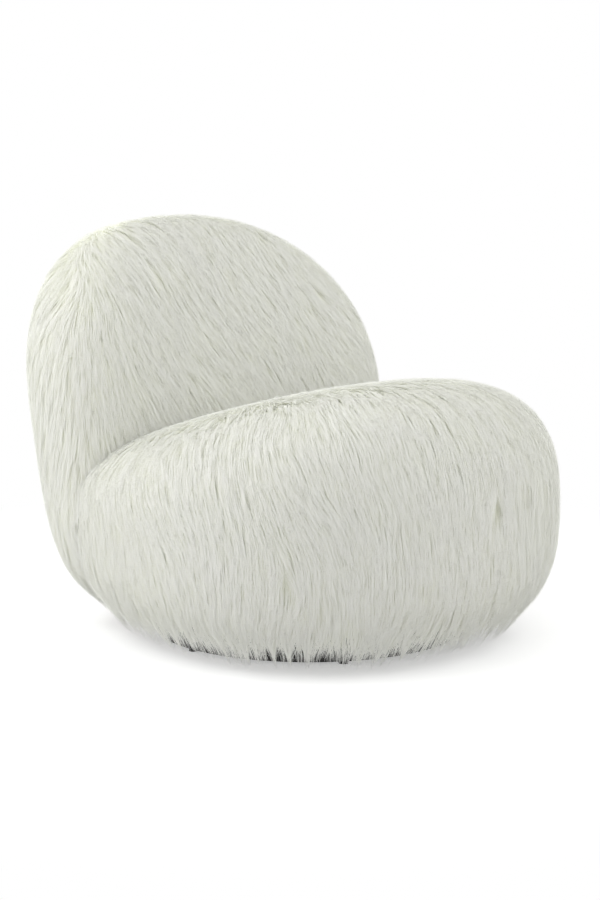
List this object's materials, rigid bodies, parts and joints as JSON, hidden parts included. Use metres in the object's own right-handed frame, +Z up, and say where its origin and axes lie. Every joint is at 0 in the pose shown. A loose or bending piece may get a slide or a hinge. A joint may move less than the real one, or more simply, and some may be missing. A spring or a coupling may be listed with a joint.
{
  "type": "swivel lounge chair",
  "caption": "Low rounded lounge chair covered in long white fur, turning on a hidden round black plinth.",
  "frame": {"origin": "on the floor, under the middle of the chair's overall width and depth", "axes": "+Z up, -Y the way the sitter faces, +X to the right of someone who looks along +Y"},
  "size_m": [0.7988, 0.933, 0.709],
  "materials": {
    "white_fur": "matte",
    "black_painted_wood": "satin",
    "black_glide_plastic": "matte",
    "plywood": "matte",
    "pine": "matte",
    "hardboard": "satin",
    "zinc_steel": "satin",
    "spring_steel": "satin",
    "ball_steel": "polished",
    "nylon": "matte",
    "foam": "matte",
    "soft_foam": "matte",
    "felt": "matte",
    "webbing": "matte",
    "black_nonwoven": "matte"
  },
  "bodies": {
    "base": {"floor_glides": "black_glide_plastic", "plinth_ring": "black_painted_wood", "plinth_top_board": "black_painted_wood", "plinth_screws": "zinc_steel", "lower_plate_screws": "zinc_steel", "swivel_lower_plate": "zinc_steel", "swivel_kingpin": "zinc_steel", "kingpin_washer": "zinc_steel", "kingpin_lock_nut": "zinc_steel"},
    "bearing": {"ball_cage": "zinc_steel", "bearing_balls": "ball_steel"},
    "chair": {"swivel_upper_plate": "zinc_steel", "swivel_bush": "nylon", "upper_plate_bolts": "zinc_steel", "board_tee_nuts": "zinc_steel", "seat_bottom_board": "plywood", "dust_cover": "black_nonwoven", "deck_posts": "pine", "deck_post_screws": "zinc_steel", "deck_front_rail": "pine", "deck_rear_rail": "pine", "deck_side_rails": "pine", "deck_rail_screws": "zinc_steel", "sinuous_springs": "spring_steel", "spring_clips": "nylon", "insulator_pad": "felt", "seat_side_foam": "foam", "seat_foam_block": "foam", "seat_soft_topper": "soft_foam", "seat_fur_cover": "white_fur", "back_posts": "pine", "back_arch_rail": "plywood", "back_cross_rails": "pine", "back_webbing": "webbing", "back_panel": "hardboard", "back_brackets": "zinc_steel", "bracket_screws": "zinc_steel", "back_front_foam": "foam", "back_rear_foam": "foam", "back_edge_foam": "foam", "back_fur_cover": "white_fur"}
  },
  "joints": [
    {"name": "swivel", "type": "hinge", "parent": "base", "child": "chair", "pos_m": [0, -0.04, 0.0695], "axis": [0, 0, 1], "continuous": true},
    {"name": "bearing_spin", "type": "hinge", "parent": "base", "child": "bearing", "pos_m": [0, -0.04, 0.0695], "axis": [0, 0, 1], "continuous": true}
  ],
  "couplings": [
    {"joint": "bearing_spin", "follows": "swivel", "ratio": 0.5}
  ]
}
